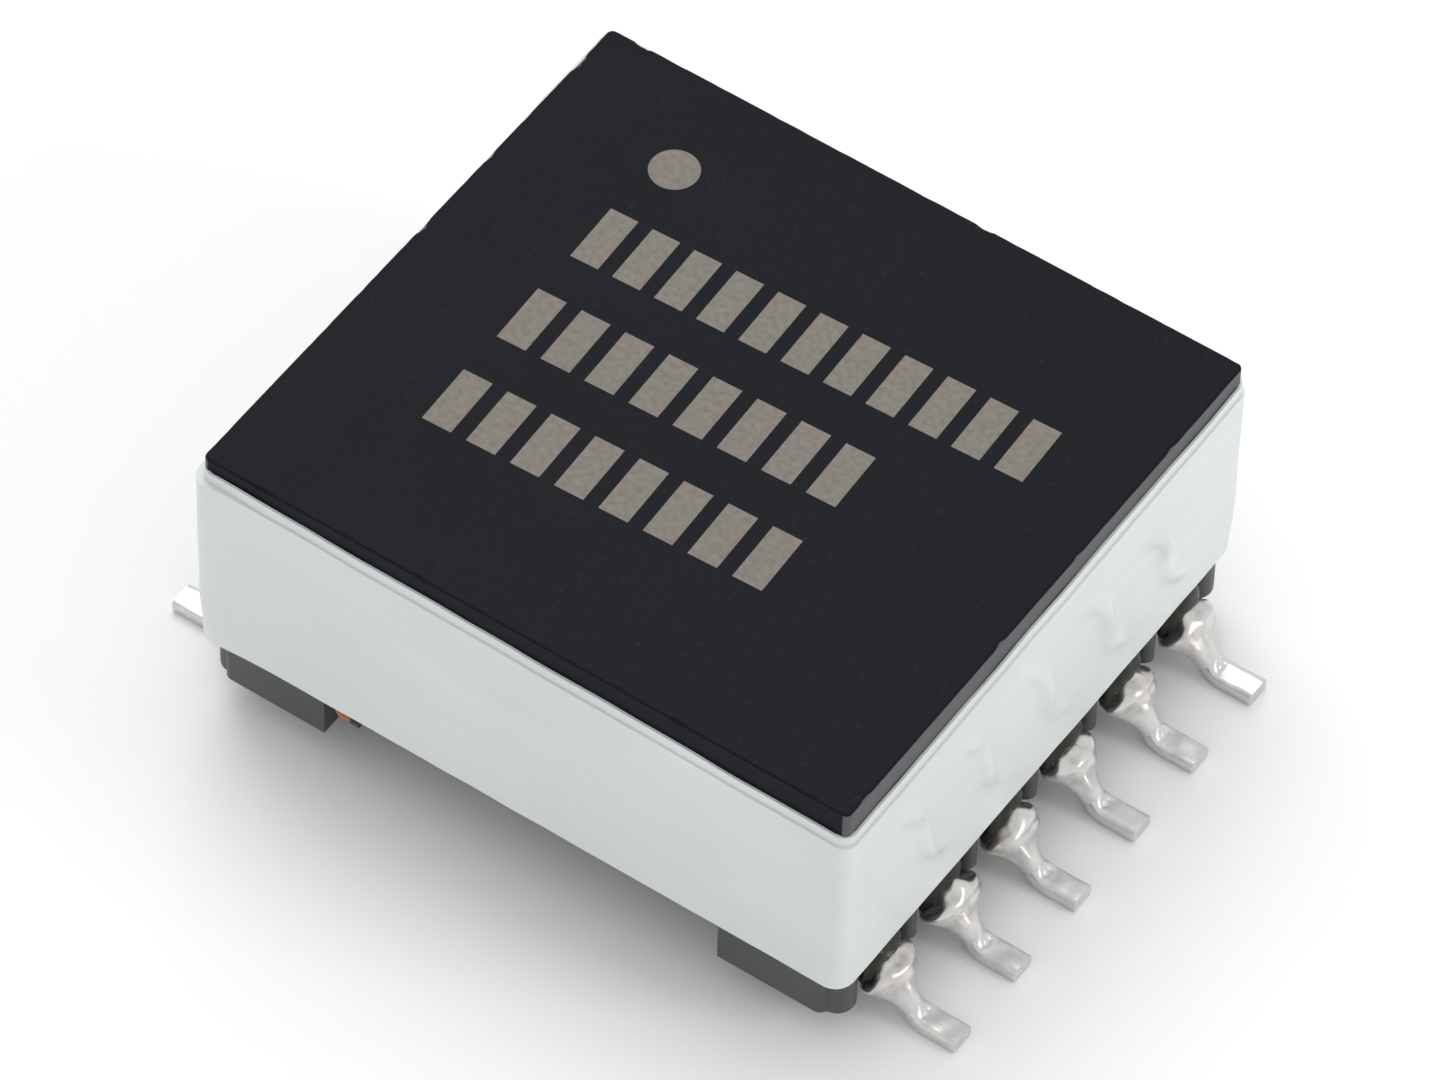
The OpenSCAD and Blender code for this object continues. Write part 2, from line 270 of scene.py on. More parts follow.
def ground_ferrite(name, settings):
    """Manganese-zinc ferrite: near black and faintly blue, with its sides that look along X painted
    paler as painted reflection.
    """
    material, tree, place = blank(name)
    # Grains of about 0.05 mm are drawn as spots of 0.15 mm, so that they show
    grain = add(tree, NOISE, spots(place, 0.15 * MM, 4))["Fac"]
    cloud = add(tree, NOISE, spots(place, 3 * MM, 3))["Fac"]
    body = mottle(tree, cloud, 0.3, 0.7, dim(settings.body, 0.9), settings.body)
    # Painted reflection: the side faces that look along X are painted paler, up to the rounding of
    # the top
    part = add(tree, "ShaderNodeSeparateXYZ", {"Vector": place})
    out = add(tree, "ShaderNodeMath", {0: part["X"]}, operation="ABSOLUTE")[0]
    edge = ranges(out, CORE_HIGH.x - 0.2 * MM, CORE_HIGH.x - 0.15 * MM)
    below = ranges(part["Z"], CORE_HIGH.z - 0.07 * MM, CORE_HIGH.z - 0.05 * MM, 1, 0)
    both = {0: add(tree, RANGE, edge)["Result"], 1: add(tree, RANGE, below)["Result"]}
    side = add(tree, "ShaderNodeMath", both, operation="MULTIPLY")[0]
    shade = add(tree, "ShaderNodeMix", {0: side, 6: body, 7: settings.side}, data_type="RGBA")[2]
    relief = {"Height": grain, "Strength": 0.12, "Distance": 0.02 * MM}
    return dressed(material, {
        "Base Color": mottle(tree, grain, 0.62, 0.8, shade, linear("#4a4b4f"), 0.2),
        "Roughness": add(tree, RANGE, ranges(cloud, 0.2, 0.8, 0.34, 0.46))["Result"],
        "Normal": add(tree, BUMP, relief)["Normal"],
        "Specular IOR Level": 0.05,
    })


def laser_mark(name, settings):
    """Laser-marked print: a warm grey, dry and slightly uneven scar in the ferrite."""
    material, tree, place = blank(name)
    uneven = add(tree, NOISE, spots(place, 0.2 * MM, 4))["Fac"]
    relief = {"Height": uneven, "Strength": 0.3, "Distance": 0.02 * MM}
    return dressed(material, {
        "Base Color": mottle(tree, uneven, 0.35, 0.75, settings.ink, dim(settings.ink, 0.72)),
        "Roughness": 0.8,
        "Normal": add(tree, BUMP, relief)["Normal"],
    })


def polyester_tape(name, settings):
    """Pale polyester adhesive tape: smooth film, a soft gloss, faint streaks along its length."""
    material, tree, place = blank(name)
    along = {"Vector": place, "Scale": (0.12, 0.12, 1)}
    along = add(tree, "ShaderNodeMapping", along)["Vector"]
    streak = add(tree, NOISE, spots(along, 0.5 * MM, 3))["Fac"]
    cloud = add(tree, NOISE, spots(place, 6 * MM))["Fac"]
    ripple = add(tree, NOISE, spots(place, 1.6 * MM, 3))["Fac"]
    film = mottle(tree, cloud, 0.3, 0.7, settings.film, dim(settings.film, 0.94))
    relief = {"Height": ripple, "Strength": 0.25, "Distance": 0.05 * MM}
    return dressed(material, {
        "Base Color": mottle(tree, streak, 0.35, 0.7, film, dim(settings.film, 0.88), 0.25),
        "Roughness": add(tree, RANGE, ranges(streak, 0.3, 0.7, 0.28, 0.4))["Result"],
        "Normal": add(tree, BUMP, relief)["Normal"],
        "IOR": 1.55,
        "Subsurface Weight": 0.1,
        "Subsurface Scale": 0.2 * MM,
    })


def moulded_plastic(name, settings):
    """Glass-filled thermoplastic from a steel mould: dark grey, dry, with faint flow mottling."""
    material, tree, place = blank(name)
    flow = add(tree, NOISE, spots(place, 0.6 * MM, 4))["Fac"]
    fine = add(tree, NOISE, spots(place, 0.08 * MM, 3))["Fac"]
    relief = {"Height": fine, "Strength": 0.25, "Distance": 0.015 * MM}
    return dressed(material, {
        "Base Color": mottle(tree, flow, 0.3, 0.7, dim(settings.plastic, 0.82), settings.plastic),
        "Roughness": add(tree, RANGE, ranges(flow, 0.3, 0.7, 0.42, 0.58))["Result"],
        "Normal": add(tree, BUMP, relief)["Normal"],
    })


def tin_solder(name, settings):
    """Tin on copper wire, wetted with solder: bright warm grey, rippled, stained by flux."""
    material, tree, place = blank(name)
    ripple = add(tree, NOISE, spots(place, 0.5 * MM))["Fac"]
    tin = mottle(tree, ripple, 0.3, 0.7, settings.tin, dim(settings.tin, 0.88))
    # The stains lie near the rail
    part = add(tree, "ShaderNodeSeparateXYZ", {"Vector": place})
    out = add(tree, "ShaderNodeMath", {0: part["X"]}, operation="ABSOLUTE")[0]
    near = add(tree, RANGE, ranges(out, RAIL_HIGH.x, RAIL_HIGH.x + 0.9 * MM, 0.8, 0))["Result"]
    stain = {0: add(tree, RANGE, ranges(ripple, 0.5, 0.72))["Result"], 1: near}
    stain = add(tree, "ShaderNodeMath", stain, operation="MULTIPLY")[0]
    relief = {"Height": ripple, "Strength": 0.2, "Distance": 0.03 * MM}
    return dressed(material, {
        "Base Color": add(
            tree, "ShaderNodeMix", {0: stain, 6: tin, 7: settings.flux}, data_type="RGBA"
        )[2],
        "Roughness": add(tree, RANGE, ranges(ripple, 0.3, 0.7, 0.24, 0.34))["Result"],
        "Normal": add(tree, BUMP, relief)["Normal"],
        "Metallic": 1,
    })


def dark_varnish(name, settings):
    """Impregnating varnish and burnt flux: black-green, wet-looking, with small pale painted
    highlights.
    """
    material, tree, place = blank(name)
    uneven = add(tree, NOISE, spots(place, 0.4 * MM, 3))["Fac"]
    # Painted highlight: pale olive spots in the colour stand for glints on the varnished wires
    painted_glint = add(tree, NOISE, spots(place, 0.22 * MM))["Fac"]
    shade = mottle(tree, uneven, 0.35, 0.65, settings.varnish, dim(settings.varnish, 0.45))
    relief = {"Height": uneven, "Strength": 0.3, "Distance": 0.05 * MM}
    return dressed(material, {
        "Base Color": mottle(tree, painted_glint, 0.7, 0.76, shade, linear("#8f9278")),
        "Roughness": 0.3,
        "Normal": add(tree, BUMP, relief)["Normal"],
        "Specular IOR Level": 0.3,
    })


def enamelled_copper(name, settings, shaded_end=None):
    """Copper wire in clear enamel: warm metal under a smooth coat, painted black past a given x as
    painted shade.
    """
    material, tree, place = blank(name)
    band = add(tree, NOISE, spots(place, 0.2 * MM))["Fac"]
    shade = mottle(tree, band, 0.35, 0.7, settings.enamel, dim(settings.enamel, 0.7))
    # Past the given x the wire is painted black: painted shade
    if shaded_end:
        along = add(tree, "ShaderNodeSeparateXYZ", {"Vector": place})["X"]
        shade = mottle(tree, along, shaded_end - 0.1 * MM, shaded_end, shade, settings.shaded_end)
    return dressed(material, {
        "Base Color": shade,
        "Roughness": 0.35,
        "Metallic": 0.8,
        "Coat Weight": 0.7,
        "Coat Roughness": 0.1,
    })


def amber_film(name, settings):
    """Thin amber film tape: glossy, with faint stripes from winding."""
    material, tree, place = blank(name)
    along = {"Vector": place, "Scale": (0.2, 0.2, 1)}
    along = add(tree, "ShaderNodeMapping", along)["Vector"]
    stripe = add(tree, NOISE, spots(along, 0.3 * MM))["Fac"]
    return dressed(material, {
        "Base Color": mottle(tree, stripe, 0.35, 0.7, settings.amber, dim(settings.amber, 0.75)),
        "Roughness": 0.25,
    })


def cured_adhesive(name, settings):
    """Cured epoxy: brownish, glossy, with small bubbles."""
    material, tree, place = blank(name)
    bubbles = add(tree, NOISE, spots(place, 0.1 * MM))["Fac"]
    return dressed(material, {
        "Base Color": mottle(tree, bubbles, 0.4, 0.7, settings.glue, dim(settings.glue, 0.6)),
        "Roughness": 0.3,
    })


# ---- Making pieces ----


def cad_copy(node):
    """A merged copy of a CAD node's mesh, with its flat faces whole."""
    bm = bmesh.new()
    bm.from_mesh(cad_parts[node].data)
    bmesh.ops.remove_doubles(bm, verts=bm.verts, dist=0.0005 * MM)
    bmesh.ops.dissolve_limit(bm, angle_limit=radians(0.8), verts=bm.verts, edges=bm.edges)
    return bm


def tube(sides, rows, shape, closed=False):
    """A tube built upright, row by row, and then moved into shape(angle, row)."""
    bm = bmesh.new()
    bmesh.ops.create_circle(bm, segments=sides, radius=1)
    ring = bm.edges[:]
    ends = ring[:]
    for _ in range(rows - 1):
        made = bmesh.ops.extrude_edge_only(bm, edges=ring)["geom"]
        verts = [g for g in made if isinstance(g, bmesh.types.BMVert)]
        ring = [g for g in made if isinstance(g, bmesh.types.BMEdge) and g.is_boundary]
        bmesh.ops.translate(bm, verts=verts, vec=(0, 0, 1))
    if closed:
        bmesh.ops.bridge_loops(bm, edges=ends + ring)
    else:
        for loop in (ends, ring):
            bmesh.ops.contextual_create(bm, geom=loop)
    for v in bm.verts:
        v.co = shape(atan2(v.co.y, v.co.x) % tau, round(v.co.z))
    bmesh.ops.recalc_face_normals(bm, faces=bm.faces)
    return bm


def finished(name, bm, material, smooth=35):
    """A finished piece that rides on the part; edges sharper than smooth degrees stay sharp."""
    mesh = bpy.data.meshes.new(name)
    bm.to_mesh(mesh)
    bm.free()
    mesh.materials.append(material)
    mesh.shade_smooth()
    mesh.set_sharp_from_angle(angle=radians(smooth))
    piece = bpy.data.objects.new(name, mesh)
    bpy.context.scene.collection.objects.link(piece)
    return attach(piece, "root")


def even_faces(piece):
    """Shades by face area, so that large flat faces look flat up to their rounded edges."""
    shade = piece.modifiers.new("Even faces", "WEIGHTED_NORMAL")
    shade.keep_sharp = True
    shade.weight = 100


def repaint(node, material):
    """Gives a CAD node's own slots a material."""
    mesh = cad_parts[node].data
    if not mesh.materials:
        mesh.materials.append(material)
    for i in range(len(mesh.materials)):
        mesh.materials[i] = material


# ---- Core ----

# Chips in the top's edges: x, y and radius in millimetres
CHIPS = (
    (-10.7, 0.6, 0.35), (-10.7, 3.8, 0.25), (-9.6, 9.7, 0.3), (-10.7, 8.2, 0.4), (2.1, 9.7, 0.3),
    (10.7, 6.1, 0.25), (10.7, -2.4, 0.3), (10.7, -8.9, 0.28), (5.2, -9.7, 0.3),
    (-3.4, -9.7, 0.25), (-8.8, -9.7, 0.35), (10.7, 1.4, 0.2),
)
# Radius in millimetres of a chip that is as deep as the setting says
FULL_CHIP = 0.45
# Rows of plain print fields, in millimetres: first and last x, middle y, and number of fields
PRINT_ROWS = ((-6.9, 8.4, 3.4, 11), (-7.0, 4.6, -0.2, 8), (-7.1, 4.5, -3.8, 8))


def worn_edge(bm, settings):
    """Rounds the core's top edges, and chips them here and there."""
    tiny = 0.001 * MM
    top = max(v.co.z for v in bm.verts)
    rim = [e for e in bm.edges if all(v.co.z > top - tiny for v in e.verts)]
    bmesh.ops.bevel(
        bm, geom=rim, offset=settings.edge, segments=3, profile=0.5, affect="EDGES", material=-1,
        clamp_overlap=True,
    )
    near = top - settings.edge - tiny
    rounding = [e for e in bm.edges if all(v.co.z > near for v in e.verts)]
    long_edges = [e for e in rounding if e.calc_length() > 5 * MM]
    bmesh.ops.subdivide_edges(bm, edges=long_edges, cuts=170, use_grid_fill=True)
    for v in bm.verts:
        x, y, z = v.co
        if z < near:
            continue
        wear = 0.25 * settings.edge * max(0, noise.noise(v.co / (0.5 * MM)))
        for chip_x, chip_y, radius in CHIPS:
            d = hypot(x - chip_x * MM, y - chip_y * MM) / (radius * MM)
            if d < 1:
                rough = 0.7 + 0.6 * noise.noise(v.co / (0.12 * MM))
                wear += settings.chip * (radius / FULL_CHIP) * (1 - d * d) * rough
        if abs(x) - CORE_HIGH.x > abs(y) - CORE_HIGH.y:
            inward = Vector((-copysign(1, x), 0, -0.6))
        else:
            inward = Vector((0, -copysign(1, y), -0.6))
        # The rounding's first and last rows slide along the faces they border, which stay flat
        if z > top - tiny:
            inward.z = 0
        elif z < near + 3 * tiny:
            inward = Vector((0, 0, -1.2))
        v.co += wear * inward


class TRANSFORMER_OT_core(bpy.types.Operator):
    """Make the two ferrite core halves, with worn edges"""

    bl_idname = "transformer.core"
    bl_label = "Core"

    def execute(self, context):
        settings = context.scene.transformer.core
        ferrite = ground_ferrite("Ground ferrite", settings)
        bm = cad_copy("core_upper")
        worn_edge(bm, settings)
        piece = finished("core_top_half", bm, ferrite, 60)
        even_faces(piece)
        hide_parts("core_upper")
        repaint("core_lower", ferrite)
        return {"FINISHED"}


class TRANSFORMER_OT_marking(bpy.types.Operator):
    """Make the index dot and plain print fields on the core's top"""

    bl_idname = "transformer.marking"
    bl_label = "Marking"

    def execute(self, context):
        settings = context.scene.transformer.core
        mark = laser_mark("Laser mark", settings)
        film = 0.006 * MM
        middle = CORE_HIGH.z + film / 2
        bm = bmesh.new()
        bmesh.ops.create_cone(
            bm, segments=64, radius1=settings.dot / 2, radius2=settings.dot / 2, depth=film,
            cap_ends=True, matrix=Matrix.Translation((-6.21 * MM, 6.41 * MM, middle)),
        )
        finished("index_dot", bm, mark)
        bm = bmesh.new()
        # The print is not quite square to the core
        skew = Matrix.Rotation(radians(2.2), 4, "Z")
        for first, last, y, count in PRINT_ROWS:
            pitch = (last - first) / count
            for i in range(count):
                place = ((first + (i + 0.5) * pitch) * MM, y * MM, middle)
                size = Matrix.Diagonal((0.66 * pitch * MM, settings.mark_height, film, 1))
                matrix = skew @ Matrix.Translation(place) @ size
                bmesh.ops.create_cube(bm, size=1, matrix=matrix)
        finished("print_fields", bm, mark)
        return {"FINISHED"}


# ---- Tape ----

# The band's upper edges climb towards -X and +Y
TAPE_SLOPE = Vector((-tan(radians(1.3)), tan(radians(0.9))))
# Gap between the core and the tape
TAPE_GAP = 0.03 * MM
# Start and end of the lapped tape end on the -X side, in millimetres along Y
LAP = (-5.8, 6.2)


def band_outline(u, a, b, r):
    """The point and outward direction at share u of a rounded rectangle's way round."""
    flat = (2 * (b - r), 2 * (a - r))
    arc = pi / 2 * r
    s = u * 2 * (flat[0] + flat[1] + 2 * arc)
    corners = ((a - r, b - r), (r - a, b - r), (r - a, r - b), (a - r, r - b))
    for side in range(4):
        turn = side * pi / 2
        out = Vector((cos(turn), sin(turn)))
        run = Vector((-sin(turn), cos(turn)))
        if s <= flat[side % 2]:
            return Vector(corners[side - 1]) + r * out + s * run, out
        s -= flat[side % 2]
        if s <= arc:
            out = Vector((cos(turn + s / r), sin(turn + s / r)))
            return Vector(corners[side]) + r * out, out
        s -= arc
    return Vector((a, r - b)), Vector((1, 0))


def lead_bump(x, y, z):
    """How far, from 0 to 1, the leads below push the tape out at a point."""
    most = 0
    if abs(x) < CORE_HIGH.x - 0.5 * MM:
        return most
    side = 1 if x > 0 else -1
    # Each bump runs from z = 8 mm down to about 4.4 mm and 1.9 mm sideways, in a faint S
    t = (8 * MM - z) / (3.6 * MM)
    ends = step(-0.12, 0.12, t) * step(1.15, 0.8, t)
    for i in range(5):
        middle = side * ((i - 2) * PITCH - 1.05 + 1.9 * t + 0.25 * sin(tau * t)) * MM
        swell = 0.75 + 0.25 * cos(tau * 1.4 * t + i)
        most = max(most, bell(y, middle, 0.3 * MM) * ends * swell)
    return most


def tape_band(settings):
    """Two turns of tape round the four sides, with the end lapped over on the -X side."""
    t = settings.thickness
    low = TAPE_LOW.z
    tall = settings.outer_edge - low
    rise = settings.inner_edge - settings.outer_edge
    heights = 56
    # Each row's distance from the core, its share of the outer turn's height, and its share of
    # the rise from the outer turn's edge to the inner one's
    rows = [(TAPE_GAP, 0, 0), (TAPE_GAP + t, 0, 0)]
    rows += [(TAPE_GAP + 2 * t, k / heights, 0) for k in range(heights + 1)]
    rows += [(TAPE_GAP + t, 1, share) for share in (0, 0.5, 1)]
    rows += [(0.02 * MM, 1, 1), (0.02 * MM, 0.5, 0)]

    def shape(angle, row):
        grow, up, rim = rows[row]
        z = low + up * tall
        loose = step(low, low + 1.6 * MM, z)
        r = settings.low_corner + (settings.corner - settings.low_corner) * loose
        flat, out = band_outline(angle / tau, CORE_HIGH.x + grow, CORE_HIGH.y + grow, r)
        x, y = flat
        wave = 0.04 * MM * noise.noise(Vector((x, y, 0)) / (3 * MM))
        z += up * (TAPE_SLOPE.x * x + TAPE_SLOPE.y * y + wave)
        z += rim * (rise + 0.05 * MM * noise.noise(Vector((x, y, 9)) / (2 * MM)))
        push = 0.02 * MM * noise.noise(Vector((x, y, z)) / (1.6 * MM))
        if grow > TAPE_GAP:
            held = step(settings.outer_edge, settings.outer_edge - 1 * MM, z)
            push += settings.bump * lead_bump(x, y, z) * held
        if grow > TAPE_GAP + 1.5 * t:
            push += settings.slack * bell(hypot(x + CORE_HIGH.x, y + CORE_HIGH.y), 0, 1.3 * MM)
            if out.x < -0.9:
                start = step((LAP[0] - 0.05) * MM, (LAP[0] + 0.05) * MM, y)
                push += t * start * step((LAP[1] + 0.05) * MM, (LAP[1] - 0.05) * MM, y)
        flat = flat + out * max(push, -0.01 * MM)
        return flat.x, flat.y, z

    return tube(settings.around, len(rows), shape, closed=True)


class TRANSFORMER_OT_tape(bpy.types.Operator):
    """Make the tape band round the four sides"""

    bl_idname = "transformer.tape"
    bl_label = "Tape"

    def execute(self, context):
        settings = context.scene.transformer.tape
        film = polyester_tape("Polyester tape", settings)
        piece = finished("tape_band", tape_band(settings), film, 50)
        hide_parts("outer_tape")
        return {"FINISHED"}


# ---- Bobbin and windings ----


class TRANSFORMER_OT_bobbin(bpy.types.Operator):
    """Make the moulded bobbin, with its rails and ridges"""

    bl_idname = "transformer.bobbin"
    bl_label = "Bobbin"

    def execute(self, context):
        settings = context.scene.transformer.bobbin
        bm = cad_copy("bobbin")
        for v in bm.verts:
            # The ridges between the terminals are narrower at their noses than at their feet
            if abs(v.co.x) > RAIL_HIGH.x - 0.48 * MM and abs(v.co.y) < 8 * MM:
                middle = PITCH * MM * round(v.co.y / (PITCH * MM))
                v.co.y = middle + settings.nose * (v.co.y - middle)
        plastic = moulded_plastic("Moulded plastic", settings)
        piece = finished("moulded_bobbin", bm, plastic)
        edge = piece.modifiers.new("Moulded edges", "BEVEL")
        edge.width = settings.edge
        edge.segments = 2
        edge.limit_method = "ANGLE"
        edge.angle_limit = radians(40)
        edge.use_clamp_overlap = True
        even_faces(piece)
        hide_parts("bobbin")
        return {"FINISHED"}


def bent_tail(settings):
    """The cut end of a lead, which leaves the rail and droops a little below the core."""
    radius, rows = 0.133 * MM, 24
    middle = (TAIL_LOW + TAIL_HIGH) / 2
    run = TAIL_HIGH.x - TAIL_LOW.x + 0.2 * MM

    def shape(angle, row):
        t = row / rows
        bend = step(0.48, 0.72, t)
        y = middle.y - 0.2 * MM * bend
        z = middle.z - settings.droop * bend
        return TAIL_LOW.x + t * run, y + radius * cos(angle), z + radius * sin(angle)

    return tube(20, rows + 1, shape)


class TRANSFORMER_OT_windings(bpy.types.Operator):
    """Finish the windings, the tape between them, the adhesive and the wire tail"""

    bl_idname = "transformer.windings"
    bl_label = "Windings"

    def execute(self, context):
        settings = context.scene.transformer.wire
        enamel = enamelled_copper("Enamelled copper", settings)
        amber = amber_film("Amber film", settings)
        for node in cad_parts:
            if node.startswith("winding_"):
                repaint(node, enamel)
            elif node.startswith("layer_tape_"):
                repaint(node, amber)
        # The loose end's tip is painted black as painted shade, where it hangs under the core
        cut = enamelled_copper("Shaded copper end", settings, TAIL_HIGH.x - 0.05 * MM)
        piece = finished("wire_end", bent_tail(settings), cut)
        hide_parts("wire_tail")
        repaint("core_adhesive", cured_adhesive("Cured adhesive", settings))
        return {"FINISHED"}


# ---- Terminals ----

# The form of a terminal of the +X row, in millimetres: heights of its pin and foot, the x where
# it starts, where its foot starts and where it ends, its bend, and the radii of both bends
PIN_Z, FOOT_Z = 1.8, 0.23
START_X, FOOT_X, TIP_X = 9.9, 12.35, 13.4
BEND, UPPER_R, LOWER_R = radians(48), 0.45, 0.8
# How much coining widens and thins the wire's radius at the foot, in millimetres
WIDER, THINNER = 0.08, 0.12
# The rail's face between the ridges, in millimetres
FACE_X = RAIL_HIGH.x / MM - 0.5
# The solder's mouth against the rail, in millimetres from the face: where it starts, where it is
# full, where it begins to fall towards the wire, and over what length it falls
MOUTH_START, MOUTH_FULL, FALL_START, FALL_LENGTH = 0.12, 0.62, 0.66, 0.62
# The flare's depth all round, and what its sides and its top have beyond that
ALL_ROUND, AT_SIDES, ON_TOP = 0.3, 0.28, 0.06
# Where the wrapped lead's two turns lie under the solder, in millimetres from the face
TURNS = (1.05, 0.75)
# The varnished leads: their upper end under the tape and their lower one in the solder
DROP_TOP, DROP_LOW = 3.2, 1.55


def wire_path(pitch=0.12):
    """Stations along a terminal, a pitch apart: x, z, slope, and how flat it is coined."""
    both = UPPER_R + LOWER_R
    slant = (PIN_Z - FOOT_Z - both * (1 - cos(BEND))) / sin(BEND)
    x1 = FOOT_X - both * sin(BEND) - slant * cos(BEND)
    x2, z2 = x1 + UPPER_R * sin(BEND), PIN_Z - UPPER_R * (1 - cos(BEND))

    def steps(long):
        count = ceil(long / pitch)
        return [k / count for k in range(1, count + 1)]

    path = [(START_X, PIN_Z, 0, 0)]
    path += [(START_X + (x1 - START_X) * t, PIN_Z, 0, 0) for t in steps(x1 - START_X)]
    for t in steps(UPPER_R * BEND):
        a = BEND * t
        path.append((x1 + UPPER_R * sin(a), PIN_Z - UPPER_R * (1 - cos(a)), a, 0))
    for t in steps(slant):
        path.append((x2 + slant * t * cos(BEND), z2 - slant * t * sin(BEND), BEND, 0))
    for t in steps(LOWER_R * BEND):
        a = BEND * (1 - t)
        x, z = FOOT_X - LOWER_R * sin(a), FOOT_Z + LOWER_R * (1 - cos(a))
        path.append((x, z, a, 1 - (1 - t) ** 1.5))
    path += [(FOOT_X + (TIP_X - FOOT_X) * t, FOOT_Z, 0, 1) for t in steps(TIP_X - FOOT_X)]
    return path


def on_terminal(i, x, y, z):
    """A point given for the +X row at y = 0, in millimetres, moved to terminal i."""
    side, middle = SEATS[i]
    return Vector((side * x * MM, middle + y * MM, z * MM))


def terminal_wire(i, settings):
    """Round wire, bent down, bent out again and coined flat at its foot."""
    path = wire_path()
    radius = settings.wire / MM / 2
    seed = Vector((7.7 * i, 0, 0))

    def shape(angle, row):
        x, z, slope, coin = path[row]
        c, s = cos(angle), sin(angle)
        # 1 for a round section, and less for a block with rounded edges
        square = 1 / (1 + 1.3 * coin)
        u = (radius + WIDER * coin) * copysign(abs(c) ** square, c)
        v = (radius - THINNER * coin) * copysign(abs(s) ** square, s)
        if v > 0:
            # The coining die bites into the upper side at the start of the foot
            v -= 0.07 * bell(x, FOOT_X - 0.23, 0.09) * bell(u, 0, 0.2)
            v += 0.03 * coin * noise.noise(Vector((x * 1.8, u * 2.5, 0)) + seed)
        return on_terminal(i, x + v * sin(slope), u, z + v * cos(slope))

    return tube(48, len(path), shape)


def solder_wick(i, settings):
    """Solder that flares on the rail, covers the wrapped lead and thins out down the terminal."""
    path = [p for p in wire_path(0.06) if FACE_X - 0.12 < p[0] < FOOT_X]
    reach = [0]
    for one, two in zip(path, path[1:]):
        reach.append(reach[-1] + hypot(two[0] - one[0], two[1] - one[1]))
    radius = settings.wire / MM / 2 + 0.005
    seed = Vector((5.3 * i, 2.9 * i, 1.1 * i))
    lean = 0.3 * noise.noise(seed)
    fullness = 1 + 0.25 * noise.noise(seed + Vector((9, 0, 0)))
    gain = settings.flare / MM / (ALL_ROUND + AT_SIDES) * fullness

    def shape(angle, row):
        x, z, slope, coin = path[row]
        y, up = cos(angle), sin(angle)
        # The distance from the rail's face, and the same with the flare's ragged mouth
        s = reach[row] - 0.12
        mouth = s - 0.16 * noise.noise(Vector((y, up, 0)) * 1.7 + seed)
        lobes = ALL_ROUND + AT_SIDES * y * y * (1 + lean * y) + ON_TOP * max(0, up) ** 4
        fall = exp(-((max(mouth - FALL_START, 0) / FALL_LENGTH) ** 1.7))
        flare = lobes * gain * fall * step(MOUTH_START, MOUTH_FULL, mouth)
        turns = 0.05 * fullness * bell(s, TURNS[0], 0.16) * (1 + y) + 0.03 * bell(s, TURNS[1], 0.1)
        # The coat and its lumps thin out between 1.2 and 2.3 mm from the face
        coat = 0.052 * step(2.1, 1.3, s) - 0.02 * step(1.9, 2.2, s)
        uneven = 0.05 * noise.noise(Vector((x, y, up)) * 1.5 + seed) * step(2.3, 1.2, s)
        r = radius + flare + turns + coat + uneven
        # Less hangs below the wire, and the coat follows the wire as it gets flat
        if up < 0:
            r += 0.12 * flare * up
        high = r * up * (1 - 0.36 * coin)
        return on_terminal(i, x + high * sin(slope), r * y, z + high * cos(slope))

    return tube(72, len(path), shape)


def lead_drop(i):
    """The varnished leads that fill a groove, from under the tape down to the solder."""
    rows = 24

    def shape(angle, row):
        t = row / rows
        c, s = cos(angle), sin(angle)
        # Lumps of varnish, and the strands under it
        lump = 0.05 * noise.noise(Vector((2 * c + 3.7 * i, 2 * s, 3 * t)))
        lump += 0.035 * abs(sin(2.5 * angle + 0.6 * i))
        # The bundle leans out and gets thicker on its way down, and its outer side is flat
        wider = step(0, 0.6, t)
        x = FACE_X + 0.12 + 0.2 * wider + (0.25 + 0.14 * step(0, 0.5, t) + lump) * c
        y = (0.5 + 0.34 * wider + lump) * s
        return on_terminal(i, min(x, FACE_X + 0.74), y, DROP_TOP + (DROP_LOW - DROP_TOP) * t)

    return tube(48, rows + 1, shape)


class TRANSFORMER_OT_terminals(bpy.types.Operator):
    """Make the formed terminals and the solder round the leads"""

    bl_idname = "transformer.terminals"
    bl_label = "Terminals"

    def execute(self, context):
        settings = context.scene.transformer.terminal
        tin = tin_solder("Tin and solder", settings)
        varnish = dark_varnish("Dark varnish", settings)
        for i, node in enumerate(TERMINALS):
            wire = finished(f"formed_{node}", terminal_wire(i, settings), tin)
            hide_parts(node)
            joint = f"solder_joint_{i + 1}"
            solder = finished(f"wetted_{joint}", solder_wick(i, settings), tin, 80)
            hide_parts(joint)
            finished(f"varnished_lead_{i + 1}", lead_drop(i), varnish, 80)
        return {"FINISHED"}


# ---- Stage ----


def soft_light(name, place, size, power):
    """A square studio light that faces the part."""
    lamp = bpy.data.lights.new(name, "AREA")
    lamp.size = size
    lamp.energy = power
    held = bpy.data.objects.new(name, lamp)
    bpy.context.scene.collection.objects.link(held)
    held.location = place
    held.rotation_euler = (-Vector(place)).to_track_quat("-Z", "Y").to_euler()


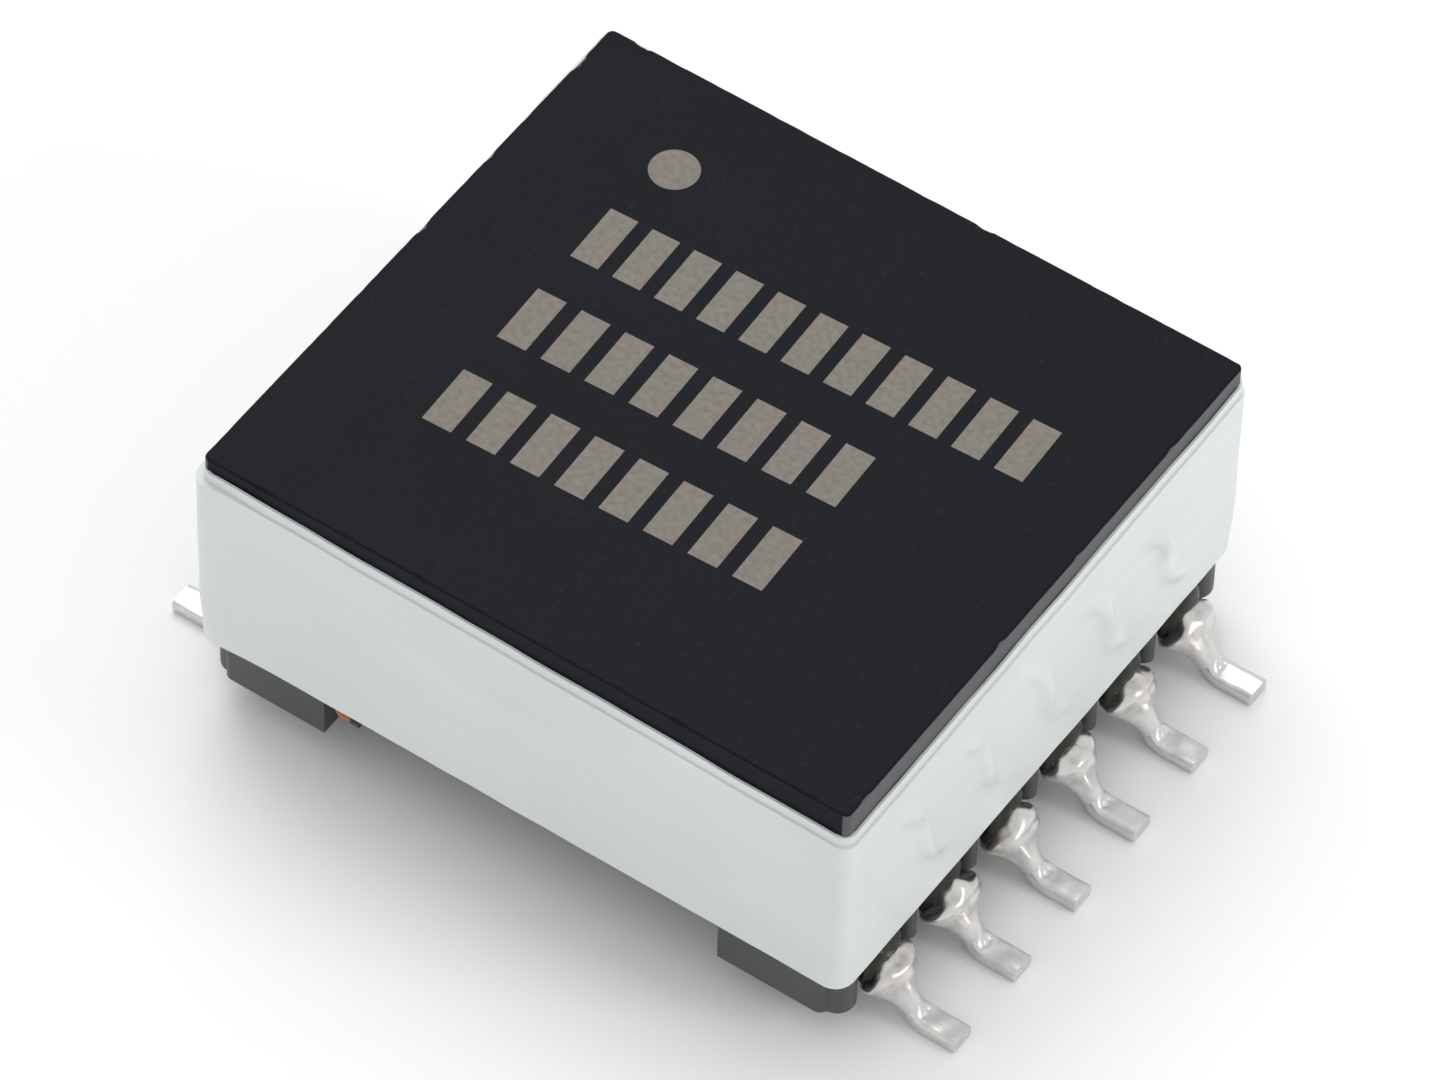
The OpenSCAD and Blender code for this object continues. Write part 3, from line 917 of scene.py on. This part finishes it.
class TRANSFORMER_OT_stage(bpy.types.Operator):
    """Make the floor, the soft light and the camera"""

    bl_idname = "transformer.stage"
    bl_label = "Stage"

    def execute(self, context):
        settings = context.scene.transformer.stage
        bm = bmesh.new()
        bmesh.ops.create_grid(bm, x_segments=1, y_segments=1, size=1.5)
        mesh = bpy.data.meshes.new("floor")
        bm.to_mesh(mesh)
        bm.free()
        paper = {"Base Color": settings.paper, "Roughness": 0.9}
        mesh.materials.append(dressed(blank("Pale paper")[0], paper))
        floor = bpy.data.objects.new("floor", mesh)
        context.scene.collection.objects.link(floor)
        world = bpy.data.worlds.new("Studio")
        world.use_nodes = True
        background = world.node_tree.nodes["Background"]
        background.inputs["Color"].default_value = (1, 1, 1, 1)
        background.inputs["Strength"].default_value = settings.ambient
        context.scene.world = world
        # A large light behind the part and above it, and a small one that glints on the terminals
        soft_light("Key", (-0.25, 0.2, 0.5), 0.35, settings.key)
        soft_light("Side", (0.4, 0.1, 0.22), 0.12, settings.side)
        camera = bpy.data.cameras.new("Camera")
        camera.lens = settings.lens
        camera.sensor_width = 36
        camera.clip_start = 0.01
        eye = bpy.data.objects.new("Camera", camera)
        context.scene.collection.objects.link(eye)
        turn = (
            Matrix.Rotation(settings.azimuth, 4, "Z")
            @ Matrix.Rotation(pi / 2 - settings.elevation, 4, "X")
            @ Matrix.Rotation(settings.roll, 4, "Z")
        )
        # The view's middle lies half way up the part, and just off its axis
        back = turn @ Vector((0, 0, 1))
        right = Vector((cos(settings.azimuth), sin(settings.azimuth), 0))
        up = back.cross(right)
        target = Vector((0, 0, 5 * MM)) - 0.047 * MM * right - 0.037 * MM * up
        eye.matrix_world = Matrix.Translation(target + back * settings.distance) @ turn
        context.scene.camera = eye
        context.scene.view_settings.view_transform = "Standard"
        return {"FINISHED"}


# ---- Panel ----


class TRANSFORMER_PT_panel(bpy.types.Panel):
    """Lists the transformer's pieces"""

    bl_idname = "TRANSFORMER_PT_panel"
    bl_label = "Transformer"
    bl_space_type = "VIEW_3D"
    bl_region_type = "UI"
    bl_category = "Transformer"

    def draw(self, context):
        for operator in OPERATORS:
            self.layout.operator(operator.bl_idname)


OPERATORS = (
    TRANSFORMER_OT_core,
    TRANSFORMER_OT_marking,
    TRANSFORMER_OT_tape,
    TRANSFORMER_OT_bobbin,
    TRANSFORMER_OT_windings,
    TRANSFORMER_OT_terminals,
    TRANSFORMER_OT_stage,
)
CLASSES = (
    CoreSettings,
    TapeSettings,
    BobbinSettings,
    WireSettings,
    TerminalSettings,
    StageSettings,
    TransformerSettings,
    *OPERATORS,
    TRANSFORMER_PT_panel,
)


def register():
    for item in CLASSES:
        bpy.utils.register_class(item)
    bpy.types.Scene.transformer = PointerProperty(type=TransformerSettings)


def unregister():
    del bpy.types.Scene.transformer
    for item in reversed(CLASSES):
        bpy.utils.unregister_class(item)


def main():
    register()
    bpy.ops.transformer.core()
    bpy.ops.transformer.marking()
    bpy.ops.transformer.tape()
    bpy.ops.transformer.bobbin()
    bpy.ops.transformer.windings()
    bpy.ops.transformer.terminals()
    bpy.ops.transformer.stage()


if __name__ == "__main__":
    main()
